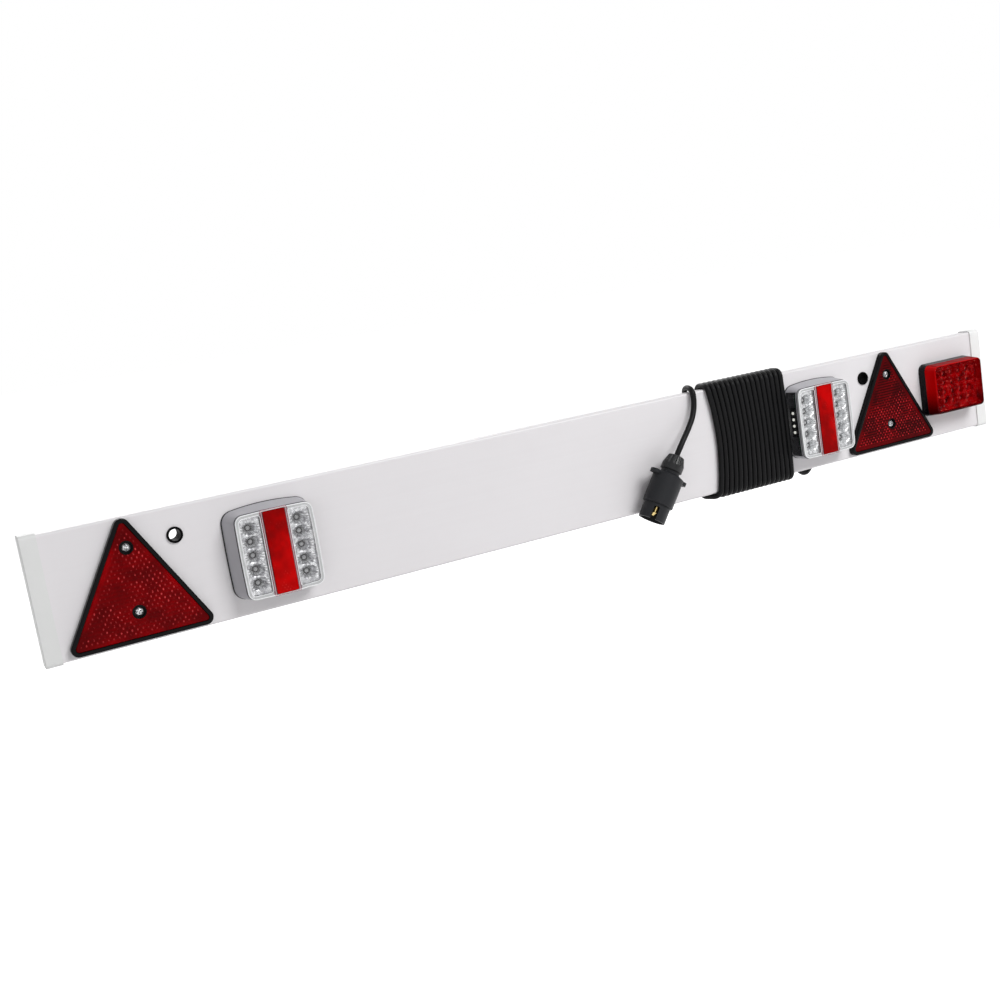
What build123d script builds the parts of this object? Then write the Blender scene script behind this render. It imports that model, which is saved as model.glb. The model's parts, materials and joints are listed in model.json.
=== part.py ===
from build123d import *
import os
from math import atan2, degrees, radians, sqrt, tan

# Trailer lighting board: a hollow plastic board that carries two LED lamps, two triangle reflectors
# and a fog lamp, with its supply cable wound round it and a seven-pin plug on the cable's end.
# Millimetres. +X runs to the right seen from the lamp side, the lamps face -Y and +Z is up.
# Places along X are given from the nearer end of the board and rises from its mid height; the origin
# is put between the two fixing holes, on the rear face, when the pieces are written.

# Board
BOARD_LENGTH = 1370.0  # over both end caps
BOARD_HEIGHT = 140.0
BOARD_THICKNESS = 20.0
BOARD_WALL = 2.5
BOARD_EDGE_RADIUS = 3.0
WEB_THICKNESS = 2.0
WEB_RISE = 17.0  # middle of each inner web above or below mid height

# Fits shared by pieces that go together
SLIDE_GAP = 0.2
SCREW_GAP = 0.15

# End caps
CAP_LENGTH = 18.0
CAP_WALL = 1.6
CAP_END = 2.0
CAP_EDGE_RADIUS = 1.0
TONGUE_LENGTH = 13.0
TONGUE_WALL = 1.6

# Fixing holes, each lined by a bush
HOLE_FROM_END = {"left": 158.0, "right": 229.0}
HOLE_RISE = 38.0
BUSH_BORE = 13.0
BUSH_WALL = 1.2
BUSH_FLANGE = 18.0
BUSH_FLANGE_THICKNESS = 2.2
BUSH_LIP_RADIUS = 0.9

# Triangle reflectors, measured up from the lower edge of their frame
TRIANGLE_FROM_END = {"left": 104.0, "right": 190.5}
TRIANGLE_LIFT = 3.5  # frame above the board's lower edge
TRIANGLE_SIDE = 166.0  # with sharp corners
TRIANGLE_CORNER = 8.5
TRIANGLE_DEPTH = 8.0
TRIANGLE_FLOOR = 1.6
TRIANGLE_RIM = 4.6
TRIANGLE_RIM_RADIUS = 1.6
TRIANGLE_LENS = 5.6
TRIANGLE_LENS_EDGE = 1.0
TRIANGLE_SEAT = 2.0  # height of each screw head above the floor
TRIANGLE_WELL = 15.0  # black well round each screw head
TRIANGLE_WELL_WALL = 0.9
TRIANGLE_WELL_DROP = 0.3  # below the face of the lens
TRIANGLE_LOWER_SCREW = 32.5
TRIANGLE_UPPER_SCREW = 40.3  # below the sharp apex
SCREW_SHANK = 4.2
SCREW_HEAD = 9.0
SCREW_HEAD_HEIGHT = 3.0
SCREW_TIP = 4.0
SCREW_REACH = 7.0  # past the inside of the board's wall
SCREW_SLOT = (5.0, 1.1, 1.5)

# Lamps
LAMP_FROM_END = {"left": 263.0, "right": 323.0}
LAMP_RISE = -1.8
LAMP_INBOARD_FLARE = 1.7  # how far the base spreads past the front, on the side of the plate light
LAMP_OUTBOARD_FLARE = {"left": 8.2, "right": 3.2}
LAMP_UPPER_FLARE = 6.0
LAMP_LOWER_FLARE = 2.7
LAMP_BASE_CORNER = 14.0
LAMP_BASE_BOWS = (1.0, 4.8)  # rise of the curve of its sides and of its top and bottom
LAMP_DEPTH = 22.6
LAMP_WALL = 2.2
LAMP_FLOOR = 2.4
LAMP_SHOULDER = 0.8  # housing left round the lens
LENS_WIDTH = 90.0
LENS_HEIGHT = 96.0
LENS_CORNER = 9.0
LENS_BOWS = (0.8, 0.8)
LENS_THICKNESS = 4.4
LENS_FACE = 3.0
LENS_SKIRT = 2.6
LENS_EDGE = 1.2
LENS_BORDER = 3.6  # raised border left round the two windows of the lens
LENS_RECESS = 1.8
SPINE_BORDER = 3.2  # clear spine beside the reflex strip
SPINE_OVERHANG = 1.0  # past the lens at the top and the bottom
SPINE_CORNER = 2.0
STRIP_WIDTH = 25.0
STRIP_INSET = 1.2  # from the top and the bottom of the lens
STRIP_THICKNESS = 1.2
STRIP_CORNER = 2.0
STRIP_EDGE = 0.5

# Lamp inside
LAMP_STANDOFF = 8.2
FOG_STANDOFF = 4.4
STANDOFF_DIAMETER = 6.0
CIRCUIT_INSET = 6.0  # circuit board inside the outline of the lens
CIRCUIT_THICKNESS = 1.6
CIRCUIT_CORNER = 6.0
STANDOFF_INSET = 6.5  # from the circuit board's edges
CUP_COLUMN = 28.5  # each column of cups from the lamp's middle
CUP_COUNT = 5
CUP_PITCH = 15.6
CUP_MOUTH = 14.0
CUP_THROAT = 6.8
CUP_WALL = 0.7
CUP_DEPTH = 11.2
REFLECTOR_FACE = 2.0
REFLECTOR_INSET = 3.2  # inside the outline of the lens
LED_DIAMETER = 5.0
LED_HEIGHT = 3.2
LED_TOP = 2.6

# Number-plate light in the inboard side of each lamp
WINDOW_HEIGHT = 88.0
WINDOW_RISE = 0.4
WINDOW_FROM = 2.8  # off the board
WINDOW_TO = 21.4
PLATE_BOARD_GAP = 1.4  # beside the lamp's own circuit board
PLATE_BOARD_THICKNESS = 1.6
PLATE_BOARD_HEIGHT = 40.0
PLATE_BOARD_DEPTH = 13.0
PLATE_LED_COUNT = 4
PLATE_LED_PITCH = 8.8
PLATE_LED_RISE = 2.0
PLATE_LED_DIAMETER = 3.8
PLATE_LED_HEIGHT = 1.8
PLATE_LED_TOP = 2.4

# Bolts and nuts of the lamps
BOLT_DIAMETER = 5.0
BOLT_HEAD = 8.0  # across the flats
BOLT_HEAD_HEIGHT = 2.8
BOLT_SPARE = 2.5  # past the nut
NUT_FLATS = 8.0
NUT_HEIGHT = 5.0
NUT_FLANGE = 11.5
NUT_FLANGE_HEIGHT = 1.3
LAMP_BOLT_SPACING = 52.0
FOG_BOLT_SPACING = 45.0
WIRE_HOLE = 10.0

# Fog lamp
FOG_FROM_END = 75.0
FOG_RISE = 0.5
FOG_WIDTH = 98.0
FOG_HEIGHT = 76.0
FOG_CORNER = 10.0
FOG_BASE_DEPTH = 11.0
FOG_DEPTH = 29.0
FOG_DRAFT = 3.6  # each side, from the base to the front
FOG_WALL = 2.4
FOG_FACE = 2.4
FOG_FRONT_EDGE = 2.5
FOG_LED_COLUMNS = 5
FOG_LED_ROWS = 4
FOG_LED_PITCH_X = 15.0
FOG_LED_PITCH_Z = 13.5
FOG_CIRCUIT_INSET = 5.0
FOG_DRAIN = (6.0, 4.0)

# Supply cable, with its places along X from the board's right end
CABLE_DIAMETER = 7.4
WINDING_FROM_END = 371.5
WINDING_TURNS = 16
WINDING_PITCH = 7.95
WINDING_GAP = 0.3
GLAND_FROM_END = 311.0
GLAND_RISE = -36.0
GLAND_FLANGE = 20.0
GLAND_FLANGE_THICKNESS = 2.4
GLAND_SPIGOT = 12.0
GLAND_BODY = 14.0
GLAND_STANDOFF = 7.0  # cable's middle behind the board
GLAND_REACH = 21.0
GLAND_MOUTH = 10.0

# Route of the cable from its gland down under the lower edge to the first turn
LEAD_IN_ROUTE = [
    (-311.0, 7.0, -57.0),
    (-311.0, 7.0, -67.0),
    (-317.5, 7.3, -76.0),
    (-329.5, 7.2, -78.6),
    (-343.5, 6.0, -71.5),
    (-358.0, 4.0, -64.0),
    (-371.5, 4.0, -64.0),
]

# Route of the cable from the last turn, up the rear, over the top edge and down to the plug
TAIL_ROUTE = [
    (-494.5, 4.0, -66.0),
    (-502.5, 4.2, -44.0),
    (-507.0, 4.4, -18.0),
    (-510.2, 4.6, 14.0),
    (-512.6, 4.8, 46.0),
    (-514.4, 4.8, 78.4),
    (-521.2, -24.8, 78.4),
    (-522.8, -26.2, 58.5),
    (-531.0, -30.0, 41.0),
    (-544.0, -35.5, 26.0),
    (-563.27, -43.4, 7.95),
    (-573.59, -43.4, -6.79),
]

# Plug, along its own axis from its open end
PLUG_MOUTH = (-622.4, -43.4, -76.5)
PLUG_LEAN = 35.0
SKIRT_DIAMETER = 35.0
SKIRT_LENGTH = 21.0
SKIRT_BORE = 30.6
SHELL_DIAMETER = 40.2
SHELL_END = 61.0
SHELL_EDGE = 1.0
NECK_DIAMETER = 24.4
NECK_START = 65.0
NECK_END = 76.5
LEDGE_BORE = 26.0
CARRIER_START = 24.0
CARRIER_THICKNESS = 10.0
CAVITY_END = 57.0
SLOT_WIDTH = 7.0
SLOT_LENGTH = 17.0
SLOT_TURN = -30.0  # round the axis, from straight out of the board
EAR_SPAN = 54.4
EAR_THICKNESS = 4.8
EAR_WIDTH = 14.0
GLAND_NUT_START = 68.7
GLAND_NUT_END = 89.0
GLAND_NUT_DIAMETER = 28.6
GLAND_NUT_TOP = 20.6
GLAND_NUT_TAPER = 12.0  # height of the part that narrows
GLAND_NUT_EDGE = 2.6
GLAND_NUT_RIBS = 12
GLAND_NUT_GROOVE = 3.2
CABLE_SOCKET = 4.0  # how far the cable goes into the gland nut
PIN_DIAMETER = 4.6
PIN_TIP = 7.5
PIN_BACK = 38.0
PIN_CIRCLE = 19.0
PIN_RING_COUNT = 6

# Worked out from the sizes above
FRONT = -BOARD_THICKNESS
LEFT_END = -BOARD_LENGTH / 2
RIGHT_END = BOARD_LENGTH / 2
PANEL_LENGTH = BOARD_LENGTH - 2 * CAP_END
BUSH_DIAMETER = BUSH_BORE + 2 * BUSH_WALL
BOARD_HOLE_GAP = 2 * SCREW_GAP
TRIANGLE_RISE = TRIANGLE_LIFT - BOARD_HEIGHT / 2
TRIANGLE_APEX = TRIANGLE_SIDE * sqrt(3) / 2
TRIANGLE_SCREW_RISES = (TRIANGLE_LOWER_SCREW, TRIANGLE_APEX - TRIANGLE_UPPER_SCREW)
FOG_X = RIGHT_END - FOG_FROM_END
GLAND_X = RIGHT_END - GLAND_FROM_END
LAMP_INBOARD = LENS_WIDTH / 2 + LAMP_SHOULDER + LAMP_INBOARD_FLARE
LAMP_BASE_HEIGHT = LENS_HEIGHT + 2 * LAMP_SHOULDER + LAMP_UPPER_FLARE + LAMP_LOWER_FLARE
SPINE_WIDTH = STRIP_WIDTH + 2 * SPINE_BORDER
CIRCUIT_WIDTH = LENS_WIDTH - 2 * CIRCUIT_INSET
CIRCUIT_HEIGHT = LENS_HEIGHT - 2 * CIRCUIT_INSET
PLATE_BOARD_X = CIRCUIT_WIDTH / 2 + PLATE_BOARD_GAP
CIRCUIT_SEAT = LAMP_FLOOR + LAMP_STANDOFF
CIRCUIT_TOP = CIRCUIT_SEAT + CIRCUIT_THICKNESS
FOG_CIRCUIT_WIDTH = FOG_WIDTH - 2 * FOG_CIRCUIT_INSET
FOG_CIRCUIT_HEIGHT = FOG_HEIGHT - 2 * FOG_CIRCUIT_INSET
FOG_CIRCUIT_SEAT = FOG_WALL + FOG_STANDOFF
FOG_CIRCUIT_TOP = FOG_CIRCUIT_SEAT + CIRCUIT_THICKNESS


def from_ends(places):
    """Turn the distances from the two ends of the board into places along X."""
    return {"left": LEFT_END + places["left"], "right": RIGHT_END - places["right"]}


HOLE_X = from_ends(HOLE_FROM_END)
TRIANGLE_X = from_ends(TRIANGLE_FROM_END)
LAMP_X = from_ends(LAMP_FROM_END)
TO_ORIGIN = Pos(-(HOLE_X["left"] + HOLE_X["right"]) / 2, 0, -HOLE_RISE)


def on_front(x, rise):
    """Place whose Z points out of the board's front face, with Y up."""
    return Pos(x, FRONT, rise) * Rot(90, 0, 0)


def on_rear(x, rise):
    """Place whose Z points out of the board's rear face."""
    return Pos(x, 0, rise) * Rot(-90, 0, 0)


def rod(diameter, start, end):
    """Round bar along Z between two heights."""
    return Pos(0, 0, (start + end) / 2) * Cylinder(diameter / 2, end - start)


def turned(points):
    """Solid turned about Z from a closed outline of radius and height pairs."""
    return revolve(Plane.XZ * make_face(Polyline(*points, close=True)), Axis.Z)


def top_edges(solid):
    """Edges of a solid's highest face."""
    return solid.faces().sort_by(Axis.Z)[-1].outer_wire().edges()


def hexagon(flats, start, end):
    """Hexagonal bar along Z."""
    return Pos(0, 0, start) * extrude(RegularPolygon(flats / 2, 6, major_radius=False), end - start)


def save(name, *solids):
    """Write one node, moved so that the origin lies between the fixing holes."""
    pieces = [TO_ORIGIN * solid for solid in solids]
    shape = pieces[0] if len(pieces) == 1 else Compound(children=pieces)
    export_step(shape, f"parts/{name}.step")


# Board and end caps


def chambers():
    """Middle height and height of each hollow in the board's section."""
    half = BOARD_HEIGHT / 2 - BOARD_WALL
    web = WEB_THICKNESS / 2
    spans = [(-half, -WEB_RISE - web), (-WEB_RISE + web, WEB_RISE - web), (WEB_RISE + web, half)]
    return [((low + high) / 2, high - low) for low, high in spans]


def board_section(growth=0.0):
    """Outer outline of the board's section, grown by a gap or a wall."""
    width = BOARD_THICKNESS + 2 * growth
    return RectangleRounded(width, BOARD_HEIGHT + 2 * growth, BOARD_EDGE_RADIUS + growth)


def along_board(section, start, end):
    """Extrude a section of the board along X."""
    return extrude(Plane.YZ.offset(start) * Pos(FRONT / 2, 0) * section, end - start)


def bolt_places():
    """Every place where a bolt goes right through the board."""
    lamps = [(x + side * LAMP_BOLT_SPACING / 2, LAMP_RISE) for x in LAMP_X.values() for side in (-1, 1)]
    fog = [(FOG_X + side * FOG_BOLT_SPACING / 2, FOG_RISE) for side in (-1, 1)]
    return lamps + fog


def board_panel():
    """Hollow extrusion with its fixing, bolt, screw and wire holes."""
    section = board_section()
    for middle, height in chambers():
        section -= Pos(0, middle) * Rectangle(BOARD_THICKNESS - 2 * BOARD_WALL, height)
    panel = along_board(section, -PANEL_LENGTH / 2, PANEL_LENGTH / 2)
    for x in HOLE_X.values():
        panel -= on_front(x, HOLE_RISE) * rod(BUSH_DIAMETER + BOARD_HOLE_GAP, -BOARD_THICKNESS - 1, 1)
    for x, rise in bolt_places():
        panel -= on_front(x, rise) * rod(BOLT_DIAMETER + BOARD_HOLE_GAP, -BOARD_THICKNESS - 1, 1)
    for x in TRIANGLE_X.values():
        for rise in TRIANGLE_SCREW_RISES:
            hole = rod(SCREW_SHANK + BOARD_HOLE_GAP, -2 * BOARD_WALL, 1)
            panel -= on_front(x, TRIANGLE_RISE + rise) * hole
    for x, rise in [(x, LAMP_RISE) for x in LAMP_X.values()] + [(FOG_X, FOG_RISE)]:
        panel -= on_front(x, rise) * rod(WIRE_HOLE, -2 * BOARD_WALL, 1)
    panel -= on_rear(GLAND_X, GLAND_RISE) * rod(GLAND_SPIGOT + BOARD_HOLE_GAP, -2 * BOARD_WALL, 1)
    return panel


def end_cap():
    """Right-hand cap: a sleeve over the board's end with a hollow tongue in each chamber."""
    end = BOARD_LENGTH / 2
    inner_end = end - CAP_END
    cap = along_board(board_section(SLIDE_GAP + CAP_WALL), end - CAP_LENGTH, end)
    cap = fillet(cap.faces().sort_by(Axis.X)[-1].edges(), CAP_EDGE_RADIUS)
    cap -= along_board(board_section(SLIDE_GAP), end - CAP_LENGTH, inner_end)
    for middle, height in chambers():
        width = BOARD_THICKNESS - 2 * (BOARD_WALL + SLIDE_GAP)
        rise = height - 2 * SLIDE_GAP
        ring = Rectangle(width, rise) - Rectangle(width - 2 * TONGUE_WALL, rise - 2 * TONGUE_WALL)
        cap += along_board(Pos(0, middle) * ring, inner_end - TONGUE_LENGTH, inner_end)
    return cap


def fixing_bush():
    """Flanged bush through the board, flush with the rear face."""
    bore, tube, flange = BUSH_BORE / 2, BUSH_DIAMETER / 2, BUSH_FLANGE / 2
    lip = BUSH_FLANGE_THICKNESS
    sleeve = [(bore, -BOARD_THICKNESS), (tube, -BOARD_THICKNESS), (tube, 0)]
    bush = turned(sleeve + [(flange, 0), (flange, lip), (bore, lip)])
    return fillet(bush.faces().sort_by(Axis.Z)[-1].edges(), BUSH_LIP_RADIUS)


# Triangle reflectors


def triangle_outline(inset=0.0):
    """Rounded equilateral triangle standing on the local X axis, inset from the frame's outline."""
    middle = TRIANGLE_SIDE / (2 * sqrt(3))
    corners = RegularPolygon(2 * (middle - inset), 3, rotation=90)
    return Pos(0, middle) * fillet(corners.vertices(), TRIANGLE_CORNER - inset)


def triangle_base():
    """Black frame: a shallow tray with a rounded rim and a well for each screw."""
    base = extrude(triangle_outline(), TRIANGLE_DEPTH)
    base = fillet(top_edges(base), TRIANGLE_RIM_RADIUS)
    base -= Pos(0, 0, TRIANGLE_FLOOR) * extrude(triangle_outline(TRIANGLE_RIM), TRIANGLE_DEPTH)
    seat = TRIANGLE_FLOOR + TRIANGLE_SEAT
    top = TRIANGLE_FLOOR + TRIANGLE_LENS - TRIANGLE_WELL_DROP
    for rise in TRIANGLE_SCREW_RISES:
        base += Pos(0, rise) * rod(TRIANGLE_WELL, 0, top)
        base -= Pos(0, rise) * rod(TRIANGLE_WELL - 2 * TRIANGLE_WELL_WALL, seat, top + 1)
        base -= Pos(0, rise) * rod(SCREW_SHANK + 2 * SCREW_GAP, -1, seat + 1)
    return base


def triangle_lens():
    """Red reflex lens with a hole for each well."""
    lens = Pos(0, 0, TRIANGLE_FLOOR) * extrude(triangle_outline(TRIANGLE_RIM + SLIDE_GAP), TRIANGLE_LENS)
    lens = fillet(top_edges(lens), TRIANGLE_LENS_EDGE)
    for rise in TRIANGLE_SCREW_RISES:
        lens -= Pos(0, rise) * rod(TRIANGLE_WELL + 2 * SLIDE_GAP, 0, 2 * TRIANGLE_DEPTH)
    return lens


def pan_screw():
    """Self-tapping pan-head screw whose head sits at Z 0."""
    head, shank = SCREW_HEAD / 2, SCREW_SHANK / 2
    length = TRIANGLE_SEAT + TRIANGLE_FLOOR + BOARD_WALL + SCREW_REACH
    shoulder = SCREW_HEAD_HEIGHT / 3
    dome = ThreePointArc((head, shoulder), (0.62 * head, 0.87 * SCREW_HEAD_HEIGHT), (0, SCREW_HEAD_HEIGHT))
    tip = [(0, SCREW_HEAD_HEIGHT), (0, -length), (shank, SCREW_TIP - length)]
    side = Polyline(tip + [(shank, 0), (head, 0), (head, shoulder)])
    screw = revolve(Plane.XZ * make_face([*side.edges(), dome]), Axis.Z)
    slot_length, slot_width, slot_depth = SCREW_SLOT
    slot = Box(slot_length, slot_width, 2 * slot_depth)
    for turn in (45, 135):
        screw -= Pos(0, 0, SCREW_HEAD_HEIGHT) * Rot(0, 0, turn) * slot
    return screw


def save_triangle(side):
    """Write one triangle reflector: frame, lens and screws."""
    place = on_front(TRIANGLE_X[side], TRIANGLE_RISE)
    seat = TRIANGLE_FLOOR + TRIANGLE_SEAT
    save(f"{side}_triangle_base", place * triangle_base())
    save(f"{side}_triangle_lens", place * triangle_lens())
    screws = [place * Pos(0, rise, seat) * pan_screw() for rise in TRIANGLE_SCREW_RISES]
    save(f"{side}_triangle_screws", *screws)


# Lamps


def bowed_outline(width, height, corner, bows):
    """Rounded rectangle whose sides bow outwards to the given width and height."""
    x, y = width / 2, height / 2
    cx, cy = x - bows[0], y - bows[1]
    sides = [
        ThreePointArc((-cx, cy), (0, y), (cx, cy)),
        ThreePointArc((cx, cy), (x, 0), (cx, -cy)),
        ThreePointArc((cx, -cy), (0, -y), (-cx, -cy)),
        ThreePointArc((-cx, -cy), (-x, 0), (-cx, cy)),
    ]
    return fillet(make_face(sides).vertices(), corner)


def lens_outline(growth=0.0):
    """Outline of the lamp's lens, grown by a margin."""
    width, height = LENS_WIDTH + 2 * growth, LENS_HEIGHT + 2 * growth
    return bowed_outline(width, height, LENS_CORNER + growth, LENS_BOWS)


def lamp_form(side, inset, floor):
    """Tapered body of the housing, inset by a wall and standing on a floor."""
    outboard = LENS_WIDTH / 2 + LAMP_SHOULDER + LAMP_OUTBOARD_FLARE[side]
    width, height = LAMP_INBOARD + outboard - 2 * inset, LAMP_BASE_HEIGHT - 2 * inset
    foot = bowed_outline(width, height, LAMP_BASE_CORNER - inset, LAMP_BASE_BOWS)
    middle = Pos((outboard - LAMP_INBOARD) / 2, (LAMP_UPPER_FLARE - LAMP_LOWER_FLARE) / 2, floor)
    return loft([middle * foot, Pos(0, 0, LAMP_DEPTH) * lens_outline(LAMP_SHOULDER - inset)])


def lamp_shell(side):
    """Housing as a closed tray, before its window and holes are cut."""
    return lamp_form(side, 0, 0) - lamp_form(side, LAMP_WALL, LAMP_FLOOR)


def window_block(gap):
    """Block that cuts the window out of the inboard side, less a gap all round."""
    outer = LAMP_INBOARD + 1
    inner = LENS_WIDTH / 2 - 2 * LAMP_WALL
    middle = Pos(-(outer + inner) / 2, WINDOW_RISE, (WINDOW_FROM + WINDOW_TO) / 2)
    return middle * Box(outer - inner, WINDOW_HEIGHT - 2 * gap, WINDOW_TO - WINDOW_FROM - 2 * gap)


def standoffs(width, height, floor, seat):
    """Four posts under the corners of a circuit board."""
    x, y = width / 2 - STANDOFF_INSET, height / 2 - STANDOFF_INSET
    posts = [Pos(sx * x, sy * y) for sx in (-1, 1) for sy in (-1, 1)]
    return [post * rod(STANDOFF_DIAMETER, floor, seat) for post in posts]


def bolt_holes(spacing, floor):
    """Holes through a lamp's floor for its bolts and its wires."""
    hole = rod(BOLT_DIAMETER + 2 * SCREW_GAP, -1, floor + 1)
    bolts = [Pos(side * spacing / 2, 0) * hole for side in (-1, 1)]
    return [*bolts, rod(WIRE_HOLE, -1, floor + 1)]


def lamp_housing(side):
    """Grey moulded tray with its window, standoffs and holes."""
    housing = lamp_shell(side) - window_block(0)
    housing += standoffs(CIRCUIT_WIDTH, CIRCUIT_HEIGHT, LAMP_FLOOR, CIRCUIT_SEAT)
    return housing - bolt_holes(LAMP_BOLT_SPACING, LAMP_FLOOR)


def plate_window(side):
    """Clear window that fills the cut in the housing's side."""
    return lamp_shell(side) & window_block(SLIDE_GAP)


def plate_circuit_board():
    """Small upright board behind the window."""
    x = -PLATE_BOARD_X - PLATE_BOARD_THICKNESS / 2
    middle = Pos(x, PLATE_LED_RISE, LAMP_FLOOR + PLATE_BOARD_DEPTH / 2)
    return middle * Box(PLATE_BOARD_THICKNESS, PLATE_BOARD_HEIGHT, PLATE_BOARD_DEPTH)


def led(diameter, height, top):
    """LED body standing on Z 0, narrowing to its top."""
    foot, crown = diameter / 2, top / 2
    return turned([(0, 0), (foot, 0), (foot, height / 2), (crown, height), (0, height)])


def plate_leds():
    """Row of LEDs on the outer face of the plate light's board."""
    x = -PLATE_BOARD_X - PLATE_BOARD_THICKNESS
    face = Pos(x, PLATE_LED_RISE, LAMP_FLOOR + PLATE_BOARD_DEPTH / 2) * Rot(0, -90, 0)
    row = range(PLATE_LED_COUNT)
    rises = [(index - (PLATE_LED_COUNT - 1) / 2) * PLATE_LED_PITCH for index in row]
    plate_led = led(PLATE_LED_DIAMETER, PLATE_LED_HEIGHT, PLATE_LED_TOP)
    return [face * Pos(0, rise) * plate_led for rise in rises]


def circuit_board(width, height, seat):
    """Flat circuit board lying on its standoffs."""
    return Pos(0, 0, seat) * extrude(RectangleRounded(width, height, CIRCUIT_CORNER), CIRCUIT_THICKNESS)


def cup_places():
    """Middle of every reflector cup, two columns side by side."""
    rises = [(index - (CUP_COUNT - 1) / 2) * CUP_PITCH for index in range(CUP_COUNT)]
    return [Pos(side * CUP_COLUMN, rise, CIRCUIT_TOP) for side in (-1, 1) for rise in rises]


def reflector():
    """Face plate with a conical cup behind each opening, standing on the circuit board."""
    throat, mouth = CUP_THROAT / 2, CUP_MOUTH / 2
    plate = Pos(0, 0, CIRCUIT_TOP + CUP_DEPTH - REFLECTOR_FACE)
    body = plate * extrude(lens_outline(-REFLECTOR_INSET), REFLECTOR_FACE)
    outside = [(0, 0), (throat + CUP_WALL, 0), (mouth + CUP_WALL, CUP_DEPTH), (0, CUP_DEPTH)]
    inside = [(0, 0), (throat, 0), (mouth, CUP_DEPTH), (0, CUP_DEPTH)]
    body += [place * turned(outside) for place in cup_places()]
    return body - [place * turned(inside) for place in cup_places()]


def lamp_lens():
    """Clear cover with two recessed windows, a spine and a skirt that stands on the housing's rim."""
    front = LAMP_DEPTH + LENS_THICKNESS
    lens = Pos(0, 0, LAMP_DEPTH) * extrude(lens_outline(), LENS_THICKNESS)
    lens = fillet(top_edges(lens), LENS_EDGE)
    lens -= Pos(0, 0, front - LENS_RECESS) * extrude(lens_outline(-LENS_BORDER), LENS_THICKNESS)
    spine = RectangleRounded(SPINE_WIDTH, LENS_HEIGHT + 2 * SPINE_OVERHANG, SPINE_CORNER)
    lens += Pos(0, 0, front - LENS_FACE) * extrude(spine, LENS_FACE)
    return lens - Pos(0, 0, LAMP_DEPTH) * extrude(lens_outline(-LENS_SKIRT), LENS_THICKNESS - LENS_FACE)


def reflex_strip():
    """Red reflex strip on the spine of the lens."""
    outline = RectangleRounded(STRIP_WIDTH, LENS_HEIGHT - 2 * STRIP_INSET, STRIP_CORNER)
    strip = Pos(0, 0, LAMP_DEPTH + LENS_THICKNESS) * extrude(outline, STRIP_THICKNESS)
    return fillet(top_edges(strip), STRIP_EDGE)


def bolt(floor):
    """Bolt with its head on a lamp's floor, long enough for the board and a nut."""
    end = BOARD_THICKNESS + NUT_HEIGHT + BOLT_SPARE
    return rod(BOLT_DIAMETER, -end, floor) + hexagon(BOLT_HEAD, floor, floor + BOLT_HEAD_HEIGHT)


def flange_nut():
    """Flanged nut standing on Z 0."""
    nut = rod(NUT_FLANGE, 0, NUT_FLANGE_HEIGHT) + hexagon(NUT_FLATS, 0, NUT_HEIGHT)
    return nut - rod(BOLT_DIAMETER + 2 * SCREW_GAP, -1, NUT_HEIGHT + 1)


def save_bolts(prefix, x, rise, spacing, floor):
    """Write a lamp's pair of bolts and the nuts behind the board."""
    places = [x + side * spacing / 2 for side in (-1, 1)]
    save(f"{prefix}_bolts", *[on_front(place, rise) * bolt(floor) for place in places])
    save(f"{prefix}_nuts", *[on_rear(place, rise) * flange_nut() for place in places])


def save_lamp(side):
    """Write one lamp; the left one is mirrored so that its plate light faces inboard too."""
    x = LAMP_X[side]
    prefix = f"{side}_lamp"

    def put(name, *solids):
        handed = [mirror(solid, Plane.YZ) for solid in solids] if side == "left" else solids
        save(f"{prefix}_{name}", *[on_front(x, LAMP_RISE) * solid for solid in handed])

    put("housing", lamp_housing(side))
    put("plate_window", plate_window(side))
    put("plate_circuit_board", plate_circuit_board())
    put("plate_leds", *plate_leds())
    put("circuit_board", circuit_board(CIRCUIT_WIDTH, CIRCUIT_HEIGHT, CIRCUIT_SEAT))
    put("leds", *[place * led(LED_DIAMETER, LED_HEIGHT, LED_TOP) for place in cup_places()])
    put("reflector", reflector())
    put("lens", lamp_lens())
    put("reflex_strip", reflex_strip())
    save_bolts(prefix, x, LAMP_RISE, LAMP_BOLT_SPACING, LAMP_FLOOR)


# Fog lamp


def fog_outline(inset):
    """Outline of the fog lamp, inset from its widest."""
    return RectangleRounded(FOG_WIDTH - 2 * inset, FOG_HEIGHT - 2 * inset, FOG_CORNER - inset)


def fog_draft(height):
    """How far the sides have drawn in at a height off the board."""
    return FOG_DRAFT * height / FOG_DEPTH


def fog_form(start, end, inset):
    """Drafted block of the fog lamp between two heights."""
    low = Pos(0, 0, start) * fog_outline(inset + fog_draft(start))
    high = Pos(0, 0, end) * fog_outline(inset + fog_draft(end))
    return loft([low, high])


def fog_base():
    """Black tray with standoffs, bolt holes and a wire hole."""
    base = fog_form(0, FOG_BASE_DEPTH, 0) - fog_form(FOG_WALL, FOG_BASE_DEPTH, FOG_WALL)
    base += standoffs(FOG_CIRCUIT_WIDTH, FOG_CIRCUIT_HEIGHT, FOG_WALL, FOG_CIRCUIT_SEAT)
    return base - bolt_holes(FOG_BOLT_SPACING, FOG_WALL)


def fog_lens():
    """Red cover with a drain notch at the bottom of its front edge."""
    lens = fog_form(FOG_BASE_DEPTH, FOG_DEPTH, 0)
    lens = fillet(top_edges(lens), FOG_FRONT_EDGE)
    lens -= fog_form(FOG_BASE_DEPTH, FOG_DEPTH - FOG_FACE, FOG_WALL)
    width, depth = FOG_DRAIN
    return lens - Pos(0, -FOG_HEIGHT / 2, FOG_DEPTH) * Box(width, 2 * depth, 2 * FOG_FACE)


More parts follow.
